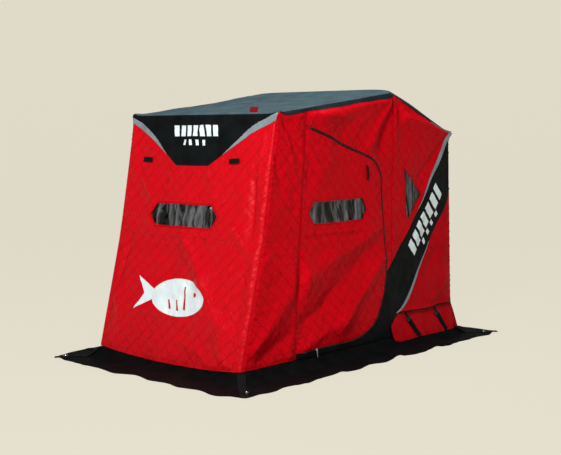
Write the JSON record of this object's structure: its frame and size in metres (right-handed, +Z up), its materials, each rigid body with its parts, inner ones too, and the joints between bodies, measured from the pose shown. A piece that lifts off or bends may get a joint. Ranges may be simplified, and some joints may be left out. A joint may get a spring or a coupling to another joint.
{
  "type": "ice fishing hut",
  "caption": "Soft-sided fishing hut on a sled: quilted cloth over a leaning tube frame, zip doors in both sides, film windows and a ground skirt.",
  "frame": {"origin": "middle of the footprint, at the ground", "axes": "+Z up, the front wall faces -X and the sled is at +X, the two sides mirror about the XZ plane"},
  "size_m": [3.25, 2.1, 2.05],
  "materials": {
    "quilted_cloth": "satin quilted polyester",
    "dark_cloth": "smooth coated polyester",
    "roof_cloth": "smooth coated polyester",
    "tab_cloth": "woven label",
    "skirt_cloth": "matte coated polyester",
    "webbing": "matte webbing",
    "zip_tape": "matte zip tape",
    "reflective_tape": "satin reflective tape",
    "window_film": "tinted soft film",
    "sled_plastic": "matte",
    "hub_plastic": "matte",
    "buckle_plastic": "satin",
    "frame_tube": "satin",
    "ring_metal": "satin"
  },
  "bodies": {
    "root": {"sled": "sled_plastic", "pivot_hubs": "hub_plastic", "crossbars": "frame_tube", "corner_posts": "frame_tube", "hoop_legs": "frame_tube", "frame_rails": "frame_tube", "front_wall": "quilted_cloth", "front_yoke": "dark_cloth", "front_window": "window_film", "front_loops": "webbing", "roof": "roof_cloth", "rear_roof": "roof_cloth", "roof_tab": "tab_cloth", "rear_wall": "quilted_cloth", "rear_yoke": "dark_cloth", "rear_flap": "quilted_cloth", "side_front_panel_right": "quilted_cloth", "side_front_panel_left": "quilted_cloth", "door_surround_right": "quilted_cloth", "door_surround_left": "quilted_cloth", "side_rear_panel_right": "quilted_cloth", "side_rear_panel_left": "quilted_cloth", "side_windows": "window_film", "side_band_right": "dark_cloth", "side_band_left": "dark_cloth", "door_sills": "dark_cloth", "side_lower_panels": "quilted_cloth", "sled_flap_right": "quilted_cloth", "sled_flap_left": "quilted_cloth", "front_skirt": "skirt_cloth", "rear_skirt": "skirt_cloth", "side_skirts": "skirt_cloth", "corner_straps": "webbing", "strap_rings": "ring_metal", "flap_straps": "webbing", "strap_buckles": "buckle_plastic", "reflective_trim": "reflective_tape"},
    "door_right": {"door_right": "quilted_cloth", "door_window_right": "window_film", "door_zip_right": "zip_tape", "door_tie_right": "webbing"},
    "door_left": {"door_left": "quilted_cloth", "door_window_left": "window_film", "door_zip_left": "zip_tape", "door_tie_left": "webbing"}
  },
  "joints": [
    {"name": "door_right_hinge", "type": "hinge", "parent": "root", "child": "door_right", "pos_m": [-0.775, -0.75, 0.127], "axis": [-0.0631, 0, -0.998], "range_deg": [0, 120]},
    {"name": "door_left_hinge", "type": "hinge", "parent": "root", "child": "door_left", "pos_m": [-0.775, 0.75, 0.127], "axis": [0.0631, 0, 0.998], "range_deg": [0, 120]}
  ]
}
